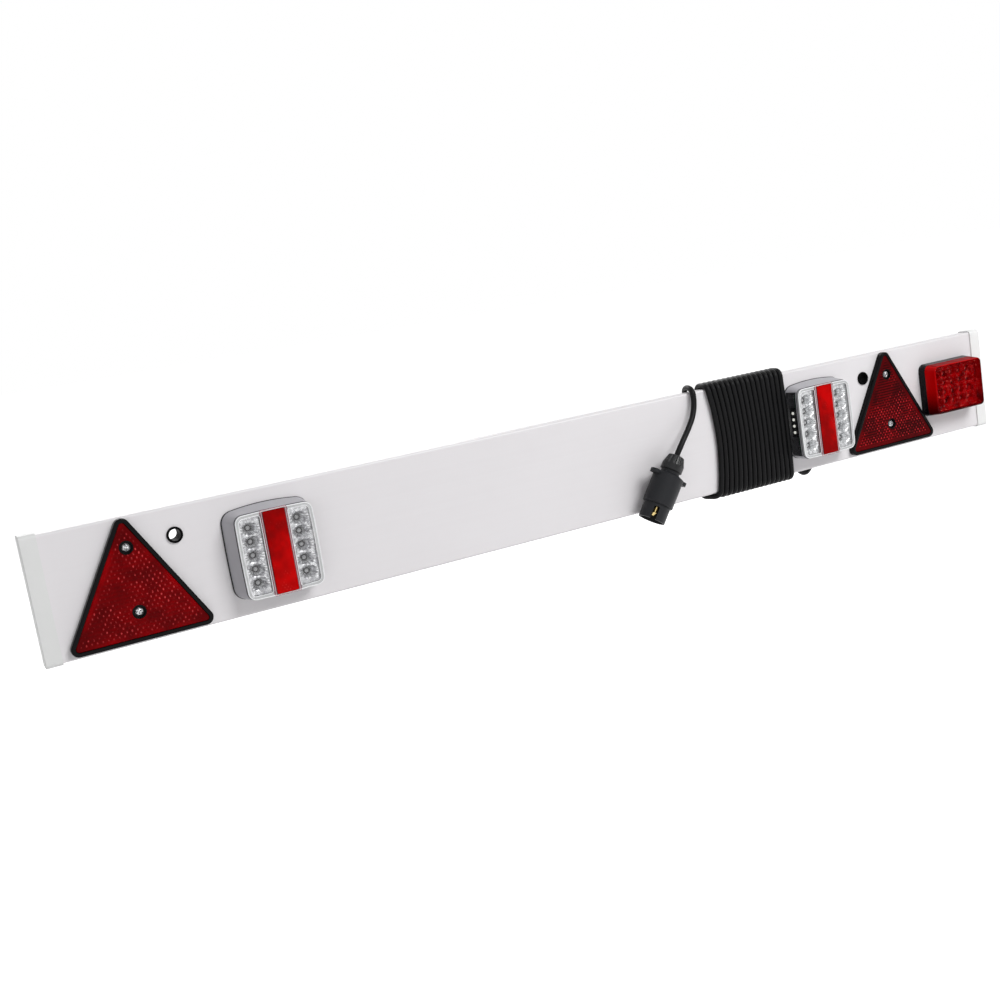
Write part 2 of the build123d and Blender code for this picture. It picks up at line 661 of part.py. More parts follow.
def fog_led_places():
    """Grid of LEDs on the fog lamp's circuit board."""
    columns = [(index - (FOG_LED_COLUMNS - 1) / 2) * FOG_LED_PITCH_X for index in range(FOG_LED_COLUMNS)]
    rows = [(index - (FOG_LED_ROWS - 1) / 2) * FOG_LED_PITCH_Z for index in range(FOG_LED_ROWS)]
    return [Pos(x, y, FOG_CIRCUIT_TOP) for x in columns for y in rows]


def save_fog_lamp():
    """Write the fog lamp."""
    place = on_front(FOG_X, FOG_RISE)
    board = circuit_board(FOG_CIRCUIT_WIDTH, FOG_CIRCUIT_HEIGHT, FOG_CIRCUIT_SEAT)
    save("fog_lamp_base", place * fog_base())
    save("fog_lamp_circuit_board", place * board)
    fog_led = led(LED_DIAMETER, LED_HEIGHT, LED_TOP)
    save("fog_lamp_leds", *[place * spot * fog_led for spot in fog_led_places()])
    save("fog_lamp_lens", place * fog_lens())
    save_bolts("fog_lamp", FOG_X, FOG_RISE, FOG_BOLT_SPACING, FOG_WALL)


# Cable and plug


def cable_gland():
    """Rubber elbow that lets the cable out of the rear wall, pointing down."""
    gland = rod(GLAND_SPIGOT, -BOARD_WALL, 0) + rod(GLAND_FLANGE, 0, GLAND_FLANGE_THICKNESS)
    gland += rod(GLAND_BODY, 0, GLAND_STANDOFF) + Pos(0, 0, GLAND_STANDOFF) * Sphere(GLAND_BODY / 2)
    foot, mouth = GLAND_BODY / 2, GLAND_MOUTH / 2
    outlet = turned([(0, 0), (foot, 0), (mouth, GLAND_REACH), (0, GLAND_REACH)])
    gland += Pos(0, 0, GLAND_STANDOFF) * Rot(-90, 0, 0) * outlet
    below = Pos(0, 0, -GLAND_FLANGE) * Box(2 * GLAND_FLANGE, 4 * GLAND_REACH, 2 * GLAND_FLANGE)
    return (gland - below) + rod(GLAND_SPIGOT, -BOARD_WALL, 0)


def cable_tube(name, route):
    """Cable along straight runs joined by the largest arcs that they take, with its radii printed."""
    points = [Vector(RIGHT_END + x, y, rise) for x, y, rise in route]
    radii = []
    for before, corner, after in zip(points, points[1:], points[2:]):
        arriving, leaving = corner - before, after - corner
        shorter = min(arriving.length, leaving.length)
        radii.append(0.45 * shorter / tan(radians(arriving.get_angle(leaving)) / 2))
    path = FilletPolyline(*points, radius=radii)
    print(name, "length", round(path.length, 1), "radii", [round(radius, 1) for radius in radii])
    start = Plane(origin=points[0], z_dir=points[1] - points[0])
    return sweep(start * Circle(CABLE_DIAMETER / 2), path=path)


def cable_winding():
    """Outer shape of the turns round the board."""
    section = board_section(WINDING_GAP + CABLE_DIAMETER) - board_section(WINDING_GAP)
    right = RIGHT_END - WINDING_FROM_END
    return along_board(section, right - WINDING_TURNS * WINDING_PITCH, right)


def plug_body():
    """Plug shell: a slotted skirt, a shell with two ears and a neck for the gland nut."""
    skirt, shell, neck = SKIRT_DIAMETER / 2, SHELL_DIAMETER / 2, NECK_DIAMETER / 2
    outside = [(0, 0), (skirt, 0), (skirt, SKIRT_LENGTH), (shell - SHELL_EDGE, SKIRT_LENGTH)]
    outside += [(shell, SKIRT_LENGTH + SHELL_EDGE), (shell, SHELL_END)]
    outside += [(neck, NECK_START), (neck, NECK_END), (0, NECK_END)]
    body = turned(outside)
    ear = extrude(Plane.XZ * Rectangle(EAR_SPAN, EAR_THICKNESS), EAR_WIDTH / 2, both=True)
    ear = fillet(ear.edges().filter_by(Axis.Z), EAR_WIDTH / 3)
    body += Pos(0, 0, SHELL_END - EAR_THICKNESS / 2 + 1) * ear
    ledge = CARRIER_START + CARRIER_THICKNESS
    body -= rod(SKIRT_BORE, -1, ledge)
    body -= rod(LEDGE_BORE, 0, CAVITY_END)
    slot = Pos(0, -SKIRT_DIAMETER / 2, 0) * Box(SLOT_WIDTH, SKIRT_DIAMETER / 2, 2 * SLOT_LENGTH)
    return body - Rot(0, 0, SLOT_TURN) * slot


def gland_nut():
    """Ribbed cable nut over the plug's neck."""
    outer, top = GLAND_NUT_DIAMETER / 2, GLAND_NUT_TOP / 2
    shoulder = GLAND_NUT_END - GLAND_NUT_TAPER
    side = [(0, GLAND_NUT_START), (outer, GLAND_NUT_START), (outer, shoulder)]
    nut = turned(side + [(top, GLAND_NUT_END), (0, GLAND_NUT_END)])
    nut = fillet(top_edges(nut), GLAND_NUT_EDGE)
    nut -= rod(NECK_DIAMETER + 2 * SLIDE_GAP, GLAND_NUT_START - 1, NECK_END)
    nut -= rod(CABLE_DIAMETER + 2 * SCREW_GAP, GLAND_NUT_END - CABLE_SOCKET, GLAND_NUT_END + 1)
    lean = degrees(atan2(outer - top, GLAND_NUT_TAPER))
    groove = Pos(0, 0, shoulder) * Rot(0, -lean, 0) * rod(GLAND_NUT_GROOVE, 0, 2 * GLAND_NUT_TAPER)
    return nut - [place * groove for place in PolarLocations(outer, GLAND_NUT_RIBS)]


def pin_places():
    """Middle of each pin: one in the centre and a ring round it, with a pin behind the slot."""
    ring = PolarLocations(PIN_CIRCLE / 2, PIN_RING_COUNT, start_angle=SLOT_TURN - 90)
    return [Pos(0, 0), *ring]


def pin_carrier():
    """Disc that holds the pins, against the ledge in the plug's bore."""
    disc = rod(SKIRT_BORE - 2 * SLIDE_GAP, CARRIER_START, CARRIER_START + CARRIER_THICKNESS)
    hole = rod(PIN_DIAMETER + 2 * SCREW_GAP, CARRIER_START - 1, CARRIER_START + CARRIER_THICKNESS + 1)
    return disc - [place * hole for place in pin_places()]


def pin():
    """Brass pin with a chamfered tip."""
    radius = PIN_DIAMETER / 2
    tip = [(0, PIN_TIP), (radius / 2, PIN_TIP), (radius, PIN_TIP + radius / 2)]
    return turned(tip + [(radius, PIN_BACK), (0, PIN_BACK)])


def save_cable():
    """Write the cable, its gland and its plug."""
    plug = Pos(RIGHT_END, 0, 0) * Pos(*PLUG_MOUTH) * Rot(0, PLUG_LEAN, 0)
    save("cable_gland", on_rear(GLAND_X, GLAND_RISE) * cable_gland())
    save("cable_lead_in", cable_tube("lead-in", LEAD_IN_ROUTE))
    save("cable_winding", cable_winding())
    save("cable_tail", cable_tube("tail", TAIL_ROUTE))
    save("plug_body", plug * plug_body())
    save("plug_gland_nut", plug * gland_nut())
    save("plug_pin_carrier", plug * pin_carrier())
    save("plug_pins", *[plug * place * pin() for place in pin_places()])


os.makedirs("parts", exist_ok=True)
save("board_panel", board_panel())
right_cap = end_cap()
save("right_end_cap", right_cap)
save("left_end_cap", mirror(right_cap, Plane.YZ))
for board_side in ("left", "right"):
    save(f"{board_side}_fixing_bush", on_front(HOLE_X[board_side], HOLE_RISE) * fixing_bush())
    save_triangle(board_side)
    save_lamp(board_side)
save_fog_lamp()
save_cable()
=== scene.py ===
import json
import math
import bmesh
import bpy
from mathutils import Matrix, Vector
from mathutils.geometry import intersect_sphere_sphere_2d


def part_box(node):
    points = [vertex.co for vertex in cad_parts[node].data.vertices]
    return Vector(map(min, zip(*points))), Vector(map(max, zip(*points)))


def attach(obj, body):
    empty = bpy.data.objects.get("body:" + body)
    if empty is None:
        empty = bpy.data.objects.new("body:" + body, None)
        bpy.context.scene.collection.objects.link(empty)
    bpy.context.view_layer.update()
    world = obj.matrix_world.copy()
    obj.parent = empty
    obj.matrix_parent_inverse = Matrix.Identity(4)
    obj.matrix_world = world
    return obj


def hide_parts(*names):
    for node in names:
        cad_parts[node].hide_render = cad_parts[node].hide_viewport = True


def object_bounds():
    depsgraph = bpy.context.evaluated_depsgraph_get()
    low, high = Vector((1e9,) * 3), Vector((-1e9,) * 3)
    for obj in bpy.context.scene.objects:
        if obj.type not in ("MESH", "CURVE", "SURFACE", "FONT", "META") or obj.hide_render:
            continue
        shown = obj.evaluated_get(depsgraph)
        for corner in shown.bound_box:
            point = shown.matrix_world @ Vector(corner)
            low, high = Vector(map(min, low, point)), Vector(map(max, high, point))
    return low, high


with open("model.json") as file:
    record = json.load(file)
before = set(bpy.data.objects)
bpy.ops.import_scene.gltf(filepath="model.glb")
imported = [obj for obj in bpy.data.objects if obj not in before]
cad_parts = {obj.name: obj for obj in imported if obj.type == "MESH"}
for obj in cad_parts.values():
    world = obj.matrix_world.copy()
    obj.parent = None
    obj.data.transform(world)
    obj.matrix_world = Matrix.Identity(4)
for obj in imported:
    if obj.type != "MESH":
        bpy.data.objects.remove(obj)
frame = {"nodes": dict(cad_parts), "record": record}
NODES = frame["nodes"]
CAD_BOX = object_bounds()

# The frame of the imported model, in metres: +X to the right seen from the lamps, the lamps face -Y, +Z up.
# Lengths written in millimetres are multiplied by MM where they are used.
MM = 0.001
SIDES = ("left", "right")
HANDS = (-1, 1)  # the two halves of a lamp
BOARD_LOW, BOARD_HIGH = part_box("board_panel")
BOARD_FRONT = BOARD_LOW.y
BOARD_MIDDLE = (BOARD_LOW.z + BOARD_HIGH.z) / 2
BOARD_RIGHT_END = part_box("right_end_cap")[1].x

# Camera fitted to the photograph: its place in metres, its axes in the model's frame
CAMERA_PLACE = Vector((-0.7662, -1.4184, 0.2112))
CAMERA_RIGHT = Vector((0.8797, -0.44912, -0.15626))
CAMERA_DOWN = Vector((-0.21296, -0.07827, -0.97392))
CAMERA_AHEAD = Vector((0.42517, 0.89004, -0.1645))
CAMERA_LENS = 46.285  # millimetres, as is the sensor
CAMERA_SENSOR = 36.0

# Studio, with lengths in metres
WHITE = (1.0, 1.0, 1.0, 1.0)
WORLD_TINT = (1.0, 0.99, 1.0, 1.0)
WORLD_LIGHT = 0.32
FLOOR_DROP = 0.42  # below the board's lower edge
FLOOR_SIZE = 60.0
FLOOR_GREY = (0.8, 0.8, 0.8, 1.0)
FLOOR_ROUGHNESS = 0.9
FLOOR_GLOW = 0.84
# Soft boxes: place, size and power
LIGHTS = {
    "key": (Vector((1.2, -2.4, 2.1)), 1.6, 75.0),
    "fill": (Vector((-2.2, -2.6, 0.9)), 2.4, 8.0),
    "back": (Vector((0.3, 2.8, 1.6)), 2.0, 34.0),
}

# Cable in millimetres, with X from the board's right end and Z from its mid height
CABLE_DIAMETER = 7.4
LEAD_IN_ROUTE = [
    (-311.0, 7.0, -57.0),
    (-311.0, 7.0, -63.5),
    (-318.0, 7.3, -73.5),
    (-325.5, 7.3, -79.5),
    (-334.0, 7.0, -77.5),
    (-340.0, 6.4, -70.5),
    (-347.5, 5.4, -66.5),
    (-357.5, 4.6, -65.5),
    (-367.2, 4.1, -61.5),
    (-371.9, 4.1, -54.5),
    (-372.2, 4.1, -44.0),
]
TAIL_ROUTE = [
    (-507.5, 4.1, -61.0),
    (-505.5, 4.2, -44.0),
    (-507.0, 4.4, -18.0),
    (-510.2, 4.6, 14.0),
    (-512.6, 4.8, 46.0),
    (-514.4, 4.8, 75.8),
    (-521.2, -24.8, 75.8),
    (-521.0, -26.2, 58.5),
    (-528.5, -30.0, 41.0),
    (-542.5, -35.5, 26.0),
    (-563.27, -43.4, 7.95),
    (-573.59, -43.4, -6.79),
]
TURNS = 16
TURN_FIRST = -376.0  # front run of the first turn, at the board's edges
TURN_PITCH = 8.0
TURN_FIRST_MIDDLE = -374.7  # the same at mid height, where the turns bow to the right
TURN_MIDDLE_PITCH = 7.57
LAST_TURN_SHIFT = 8.0  # to the left at the foot of the last turn, on the way to the tail
TURN_REAR = 4.1
TURN_FRONT = -24.1
TURN_TOP = 74.1
TURN_CORNER = 4.8  # from the sharp corner to the points that round it
TURN_NEAR = 61.0  # height of the points just short of the corners
TURN_BOW = 45.0  # height of the points that shape the bow
TURN_HIGH = TURN_TOP - TURN_CORNER
TURN_REAR_IN = TURN_REAR - TURN_CORNER
TURN_FRONT_IN = TURN_FRONT + TURN_CORNER
TURN_BETWEEN = (TURN_REAR_IN + TURN_FRONT_IN) / 2
# One turn: lean to the right, share of the bow, share of the last turn's shift, depth and height
TURN_POINTS = (
    (4.0, 0.0, 0.0, TURN_REAR, -TURN_NEAR),
    (3.2, 0.0, 0.0, TURN_REAR, 0.0),
    (2.5, 0.0, 0.0, TURN_REAR, TURN_NEAR),
    (2.5, 0.0, 0.0, TURN_REAR, TURN_HIGH),
    (2.0, 0.0, 0.0, TURN_REAR_IN, TURN_TOP),
    (1.3, 0.0, 0.0, TURN_BETWEEN, TURN_TOP),
    (0.6, 0.0, 0.0, TURN_FRONT_IN, TURN_TOP),
    (0.1, 0.0, 0.0, TURN_FRONT, TURN_HIGH),
    (0.0, 0.2, 0.0, TURN_FRONT, TURN_NEAR),
    (0.0, 0.6, 0.0, TURN_FRONT, TURN_BOW),
    (0.0, 1.13, 0.0, TURN_FRONT, 0.0),
    (0.0, 0.6, 0.0, TURN_FRONT, -TURN_BOW),
    (0.0, 0.2, 0.0, TURN_FRONT, -TURN_NEAR),
    (0.0, 0.0, 0.0, TURN_FRONT, -TURN_HIGH),
    (-0.6, 0.0, 0.5, TURN_FRONT_IN, -TURN_TOP),
    (-1.9, 0.0, 0.85, TURN_BETWEEN, -TURN_TOP),
    (-3.2, 0.0, 1.0, TURN_REAR_IN, -TURN_TOP),
    (-4.0, 0.0, 1.0, TURN_REAR, -TURN_HIGH),
)

# Lamps: outlines, spine, draft and places of the cups, as in the solids
LENS_TALLER = 6.0  # height of the lens's outline over its width
LENS_CORNER = 9.0
LENS_BOWS = (0.8, 0.8)
LENS_BORDER = 3.6
SPINE_HALF = 15.7
LAMP_BASE_CORNER = 14.0
LAMP_BASE_BOWS = (1.0, 4.8)
CUP_COLUMN = 28.5
CUP_COUNT = 5
CUP_PITCH = 15.6
FOG_DRAFT = 3.6
FOG_CUP_COLUMNS = 5
FOG_CUP_ROWS = 4
FOG_CUP_PITCH_X = 15.0
FOG_CUP_PITCH_Z = 13.5

# Beads on the lens: out from its outline, down from its front, and thickness
# the rim and window beads are painted highlights on the clear lens's rounded lips
RIM_OUT, RIM_DROP, RIM_BEAD = -0.4, 0.6, 1.4
SEAM_OUT, SEAM_DROP, SEAM_BEAD = 0.15, 4.2, 1.3
WINDOW_DROP, WINDOW_BEAD = 0.3, 0.8
WINDOW_GAP = 0.3  # from the spine
WINDOW_CORNER = 3.0
# the spine line is a painted highlight, pinkish white, beside the reflex strip
STRIP_LINES = {"strip_line": 0.25, "spine_line": 1.5}  # out from the reflex strip
STRIP_LINE_RISE, STRIP_LINE_BEAD = 0.1, 0.6
OUTLINE_STEPS = 10
WINDOW_STEPS = 5

# Bowls, with a black socket round each LED as painted shade in its throat
BOWL_FACETS = 28
BOWL_RINGS = 6
BOWL_CURVE = 1.5  # power by which a bowl deepens towards its throat
FLUTE_DEPTH = 0.09  # share of the bowl's radius
CELL_PAINTED_SHADE = 0.5  # painted shade in the corners of a bowl's cell, from 0 to 1
CUP_MOUTH = (23.0, 15.4)
CUP_THROAT = 6.4
LAND_INSET = 1.6  # of the lands above and below the bowls
# painted shade on the lands: light above the bowls, alternate stripes below them in place of the
# reflections of their flutes
LAND_PAINTED_SHADE = 0.2
LAND_STRIPS = 7
LAND_STRIP_PAINTED_SHADES = (0.35, 0.8)
FOG_CUP_MOUTH = (14.2, 12.8)
FOG_CUP_THROAT = 7.0
FOG_CUP_DEPTH = 9.0
SOCKET_STEPS = 20
SOCKET_FOOT = 0.05  # outer edge above the floor
SOCKET_TAPER = 0.9
LAMP_SOCKET = (2.5, 3.8, 2.2)  # inner radius, outer radius and height
FOG_SOCKET = (2.3, 4.4, 3.0)

# Other trim of the lamps
SPINE_WALL_OUT = 0.1
SPINE_WALL_SHORT = 1.0
SPINE_WALL_FROM, SPINE_WALL_TO = -1.5, 3.4  # from the front of the bowls
# Black band round each lamp's foot, painted contact shadow where the lamp meets the board
FOOT_SHADOW_WIDER, FOOT_SHADOW_TALLER = 1.4, 0.3  # outer edge against the housing
FOOT_SHADOW_NARROWER = 1.0  # inner edge against the housing
FOOT_SHADOW_CORNER = 0.5
FOOT_SHADOW_FROM, FOOT_SHADOW_TO = 0.05, 1.7  # off the board

# Triangle reflectors
TRIANGLE_MIDDLE = 43.12  # from the middle of the red lens to each of its sides
TRIANGLE_BORDER = 5.5
PRISM_PITCH = {"left": 5.8, "right": 5.4}
PRISM_ROW = {"left": 4.5, "right": 3.7}
PRISM_STRIPES = {"left": 0.25, "right": 1.0}  # how much darker the rows get between the dots
# painted light: each side's reds, glints and border tone are set for the light on that side, the glints
# painted highlights
PRISM_REDS = {"left": ((92, 0, 3), (132, 0, 4)), "right": ((66, 0, 4), (120, 0, 6))}
PRISM_GLINT = {"left": (206, 66, 68), "right": (232, 48, 54)}
PRISM_LEAN = {"left": (0.0, 0.0), "right": (2.4, -4.0)}  # more prisms lit per metre across and up
BORDER_TONE = {"left": 1.25, "right": 0.7}  # of the plain border against the prisms

# Values used in the materials
NOISE_SPAN = (0.3, 0.7)  # where most values of a noise texture lie
FACING_SPAN = (0.85, 0.95)  # cosines between standing beside an axis and facing along it
PLASTIC_IOR = 1.49
MOULD_GLOSS = 0.06  # how far the gloss of a moulding wanders
DIE_LINES = (1.2, 420.0, 420.0)  # stretch of the noise that draws lines along the board


# Camera, world, lights and floor


def add_camera():
    """Camera at the photograph's viewing angle."""
    data = bpy.data.cameras.new("camera")
    data.sensor_width = CAMERA_SENSOR
    data.lens = CAMERA_LENS
    camera = bpy.data.objects.new("camera", data)
    turn = Matrix((CAMERA_RIGHT, -CAMERA_DOWN, -CAMERA_AHEAD)).transposed()
    camera.matrix_world = Matrix.LocRotScale(CAMERA_PLACE, turn.to_quaternion(), None)
    bpy.context.collection.objects.link(camera)
    bpy.context.scene.camera = camera
    bpy.context.scene.view_settings.view_transform = "Standard"


def seen_rays(nodes, links):
    """Output that is 1 for rays that show the background: camera, glossy and transmission rays."""
    path = nodes.new("ShaderNodeLightPath")
    total = path.outputs["Is Camera Ray"]
    for kind in ("Is Glossy Ray", "Is Transmission Ray"):
        either = nodes.new("ShaderNodeMath")
        either.operation = "MAXIMUM"
        links.new(total, either.inputs[0])
        links.new(path.outputs[kind], either.inputs[1])
        total = either.outputs[0]
    return total


def add_world():
    """Soft light from all round, in front of a white background."""
    world = bpy.data.worlds.new("studio")
    world.use_nodes = True
    bpy.context.scene.world = world
    nodes, links = world.node_tree.nodes, world.node_tree.links
    nodes.clear()
    light = nodes.new("ShaderNodeBackground")
    light.inputs["Color"].default_value = WORLD_TINT
    light.inputs["Strength"].default_value = WORLD_LIGHT
    white = nodes.new("ShaderNodeBackground")
    white.inputs["Color"].default_value = WHITE
    white.inputs["Strength"].default_value = 1.0
    mix = nodes.new("ShaderNodeMixShader")
    links.new(seen_rays(nodes, links), mix.inputs[0])
    links.new(light.outputs[0], mix.inputs[1])
    links.new(white.outputs[0], mix.inputs[2])
    output = nodes.new("ShaderNodeOutputWorld")
    links.new(mix.outputs[0], output.inputs["Surface"])


def add_light(name, place, size, power):
    """Square soft box aimed at the middle of the part."""
    data = bpy.data.lights.new(name, "AREA")
    data.shape = "SQUARE"
    data.size = size
    data.energy = power
    light = bpy.data.objects.new(name, data)
    target = (CAD_BOX[0] + CAD_BOX[1]) / 2
    aim = (target - place).to_track_quat("-Z", "Y")
    light.matrix_world = Matrix.LocRotScale(place, aim, None)
    bpy.context.collection.objects.link(light)


def add_floor():
    """Pale floor that glows a little to the camera, so that it meets the white background."""
    mesh = bpy.data.meshes.new("floor")
    half, height = FLOOR_SIZE / 2, BOARD_LOW.z - FLOOR_DROP
    corners = ((-half, -half), (half, -half), (half, half), (-half, half))
    mesh.from_pydata([(x, y, height) for x, y in corners], [], [(0, 1, 2, 3)])
    finish = Finish(
        "floor", FLOOR_ROUGHNESS, Base_Color=FLOOR_GREY, Specular_IOR_Level=0.0, Emission_Color=WHITE
    )
    seen = seen_rays(finish.nodes, finish.links)
    finish.feed(Emission_Strength=finish.times(seen, FLOOR_GLOW))
    mesh.materials.append(finish.material)
    floor = bpy.data.objects.new("floor", mesh)
    bpy.context.collection.objects.link(floor)


# Materials


def shade(red, green, blue):
    """Linear colour from 0 to 255 picture values."""
    def linear(value):
        value /= 255
        return value / 12.92 if value <= 0.04045 else ((value + 0.055) / 1.055) ** 2.4

    return linear(red), linear(green), linear(blue)


def scaled(colour, factor):
    return tuple(channel * factor for channel in colour)


class Finish:
    """A material under construction: one Principled shader and the textures that feed it."""

    def __init__(self, name, roughness, **sockets):
        self.material = bpy.data.materials.new(name)
        self.material.use_nodes = True
        self.nodes = self.material.node_tree.nodes
        self.links = self.material.node_tree.links
        self.shader = self.nodes["Principled BSDF"]
        self.shader.inputs["Roughness"].default_value = roughness
        for socket, value in sockets.items():
            self.shader.inputs[socket.replace("_", " ")].default_value = value
        self.place = self.nodes.new("ShaderNodeTexCoord").outputs["Object"]

    def add(self, kind, inputs, output=0, **settings):
        """Add a node with values or links on its inputs, and return one of its outputs."""
        node = self.nodes.new(kind)
        for setting, value in settings.items():
            setattr(node, setting, value)
        for key, value in inputs.items():
            if isinstance(value, bpy.types.NodeSocket):
                self.links.new(value, node.inputs[key])
            else:
                node.inputs[key].default_value = value
        return node.outputs[output]

    def feed(self, **textures):
        """Drive sockets of the shader with textures."""
        for socket, value in textures.items():
            self.links.new(value, self.shader.inputs[socket.replace("_", " ")])

    def math(self, operation, first, second=0.0):
        return self.add("ShaderNodeMath", {0: first, 1: second}, operation=operation)

    def times(self, first, second):
        return self.math("MULTIPLY", first, second)

    def plus(self, first, second):
        return self.math("ADD", first, second)

    def stretch(self, place, scale):
        """A place with each axis scaled."""
        return self.add("ShaderNodeVectorMath", {0: place, 1: scale}, operation="MULTIPLY")

    def noise(self, scale, detail, rough=0.55, place=None):
        inputs = {"Vector": place or self.place, "Scale": scale, "Detail": detail, "Roughness": rough}
        return self.add("ShaderNodeTexNoise", inputs)

    def between(self, value, low, high, start=0.0, end=1.0):
        """Number that goes smoothly from start to end while value goes from low to high."""
        inputs = {"Value": value, "From Min": low, "From Max": high, "To Min": start, "To Max": end}
        return self.add("ShaderNodeMapRange", inputs, interpolation_type="SMOOTHSTEP")

    def patches(self, scale, detail, low, high):
        """Noise pulled apart: 0 in some patches, 1 in others."""
        return self.between(self.noise(scale, detail), low, high)

    def uneven(self, scale, detail, low, high):
        """Roughness that wanders between two values."""
        self.feed(Roughness=self.between(self.noise(scale, detail), *NOISE_SPAN, low, high))

    def mix(self, factor, low, high):
        """Colour between two colours, each a plain triple or a link."""
        inputs = {0: factor}
        for key, colour in ((6, low), (7, high)):
            inputs[key] = colour if isinstance(colour, bpy.types.NodeSocket) else (*colour, 1.0)
        return self.add("ShaderNodeMix", inputs, output=2, data_type="RGBA")

    def bump(self, height, depth, strength, edge=0.0):
        """Fine bumps, over edges that shade as if they were rounded, both in millimetres."""
        inputs = {"Height": height, "Distance": depth * MM, "Strength": strength}
        if edge:
            inputs["Normal"] = self.add("ShaderNodeBevel", {"Radius": edge * MM})
        self.feed(Normal=self.add("ShaderNodeBump", inputs))

    def axis(self, name, start=0.0):
        """One object coordinate, counted from a start."""
        value = self.add("ShaderNodeSeparateXYZ", {0: self.place}, output=name)
        return self.math("SUBTRACT", value, start)

    def lattice(self, pitch, row, core, rim):
        """Dots in staggered rows, seen from the front: 1 in their core, 0 beyond their rim."""
        scale = (math.sqrt(2) / (pitch * MM), 1 / (math.sqrt(2) * row * MM), 1.0)
        flat = self.add("ShaderNodeCombineXYZ", {0: self.axis("X"), 1: self.axis("Z")})
        turn = {"Vector": self.stretch(flat, scale), "Angle": math.radians(45)}
        turned = self.add("ShaderNodeVectorRotate", turn)
        cells = {"Vector": turned, "Scale": 1.0, "Randomness": 0.0}
        near = self.add("ShaderNodeTexVoronoi", cells, voronoi_dimensions="2D")
        return self.between(near, core, rim, 1.0, 0.0)

    def facing(self, axis):
        """1 where the surface faces along an axis, 0 where it stands beside it."""
        normal = self.nodes.new("ShaderNodeNewGeometry").outputs["True Normal"]
        along = self.add("ShaderNodeSeparateXYZ", {0: normal}, output=axis)
        return self.between(self.math("ABSOLUTE", along), *FACING_SPAN)


def moulded(name, colour, roughness, mottle=0.05, grain=0.03, edge=0.0, **sockets):
    """Moulded plastic or rubber: faint cloudy colour, uneven gloss and a fine grain."""
    finish = Finish(name, roughness, **sockets)
    cloud = finish.noise(scale=38.0, detail=4.0)
    finish.feed(Base_Color=finish.mix(cloud, scaled(colour, 1 - mottle), scaled(colour, 1 + mottle)))
    finish.uneven(scale=160.0, detail=5.0, low=roughness - MOULD_GLOSS, high=roughness + MOULD_GLOSS)
    finish.bump(finish.noise(scale=2600.0, detail=2.0), grain, strength=0.6, edge=edge)
    return finish.material


def board_white():
    """Satin extruded plastic with long faint die lines and a cloudy white."""
    finish = Finish("board_white", roughness=0.36)
    along = finish.stretch(finish.place, DIE_LINES)
    lines = finish.noise(scale=1.0, detail=4.0, rough=0.6, place=along)
    cloud = finish.noise(scale=7.0, detail=4.0)
    tone = finish.plus(finish.times(lines, 0.35), finish.times(cloud, 0.65))
    finish.feed(Base_Color=finish.mix(tone, shade(226, 223, 225), shade(234, 232, 234)))
    finish.uneven(scale=55.0, detail=4.0, low=0.30, high=0.42)
    finish.bump(lines, depth=0.06, strength=0.35)
    return finish.material


def triangle_red(side):
    """Reflex lens: a lattice of prisms, some of them with painted glints, inside a plain border, in reds
    painted for the light on its side.
    """
    low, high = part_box(f"{side}_triangle_lens")
    row, half_row = PRISM_ROW[side], PRISM_ROW[side] * MM / 2
    finish = Finish(f"{side}_triangle_red", roughness=0.16, Specular_IOR_Level=0.03)
    across = finish.axis("X", (low.x + high.x) / 2)
    up = finish.axis("Z", low.z + TRIANGLE_MIDDLE * MM)
    slant = finish.times(finish.math("ABSOLUTE", across), math.cos(math.radians(30)))
    slant = finish.plus(slant, finish.times(up, 0.5))
    edge = finish.math("MAXIMUM", slant, finish.times(up, -1.0))
    inside = TRIANGLE_MIDDLE - TRIANGLE_BORDER
    border = finish.between(edge, (inside - 1.0) * MM, (inside + 2.0) * MM)
    dots = finish.lattice(PRISM_PITCH[side], row, core=0.13, rim=0.28)
    fold = finish.between(finish.math("PINGPONG", up, half_row), 0.0, half_row)
    stripes = finish.times(fold, PRISM_STRIPES[side])
    lean_x, lean_z = PRISM_LEAN[side]
    lean = finish.plus(finish.times(across, lean_x), finish.times(up, lean_z))
    leaning = finish.plus(finish.noise(scale=24.0, detail=2.0), lean)
    sparkle = finish.patches(scale=300.0, detail=1.0, low=0.36, high=0.66)
    lit = finish.times(finish.times(dots, finish.between(leaning, 0.36, 0.54)), sparkle)
    cloud = finish.patches(scale=30.0, detail=3.0, low=0.3, high=0.7)
    dark, light = [shade(*red) for red in PRISM_REDS[side]]
    base = finish.mix(stripes, finish.mix(cloud, dark, light), scaled(dark, 0.45))
    prisms = finish.mix(lit, base, shade(*PRISM_GLINT[side]))
    plain = finish.mix(cloud, dark, scaled(light, BORDER_TONE[side]))
    finish.feed(Base_Color=finish.mix(border, prisms, plain))
    finish.bump(dots, depth=0.2, strength=0.3)
    return finish.material


def strip_red():
    """Smooth reflex strip with fine prisms deep inside, some with painted glints."""
    finish = Finish("strip_red", roughness=0.12, Specular_IOR_Level=0.03)
    dots = finish.lattice(pitch=4.0, row=3.0, core=0.12, rim=0.3)
    lit = finish.times(dots, finish.patches(scale=40.0, detail=2.0, low=0.54, high=0.72))
    cloud = finish.patches(scale=30.0, detail=3.0, low=0.32, high=0.68)
    base = finish.mix(cloud, shade(138, 0, 1), shade(200, 0, 1))
    finish.feed(Base_Color=finish.mix(lit, base, shade(206, 50, 50)))
    return finish.material


def clear_plastic(name, colour, alpha, roughness=0.05):
    """Clear moulding, see-through by alpha so that light reaches what is behind it."""
    finish = Finish(name, roughness, Alpha=alpha, IOR=PLASTIC_IOR)
    cloud = finish.noise(scale=120.0, detail=2.0)
    finish.feed(Base_Color=finish.mix(cloud, scaled(colour, 0.94), colour))
    finish.uneven(scale=240.0, detail=3.0, low=roughness, high=roughness + 0.05)
    return finish.material


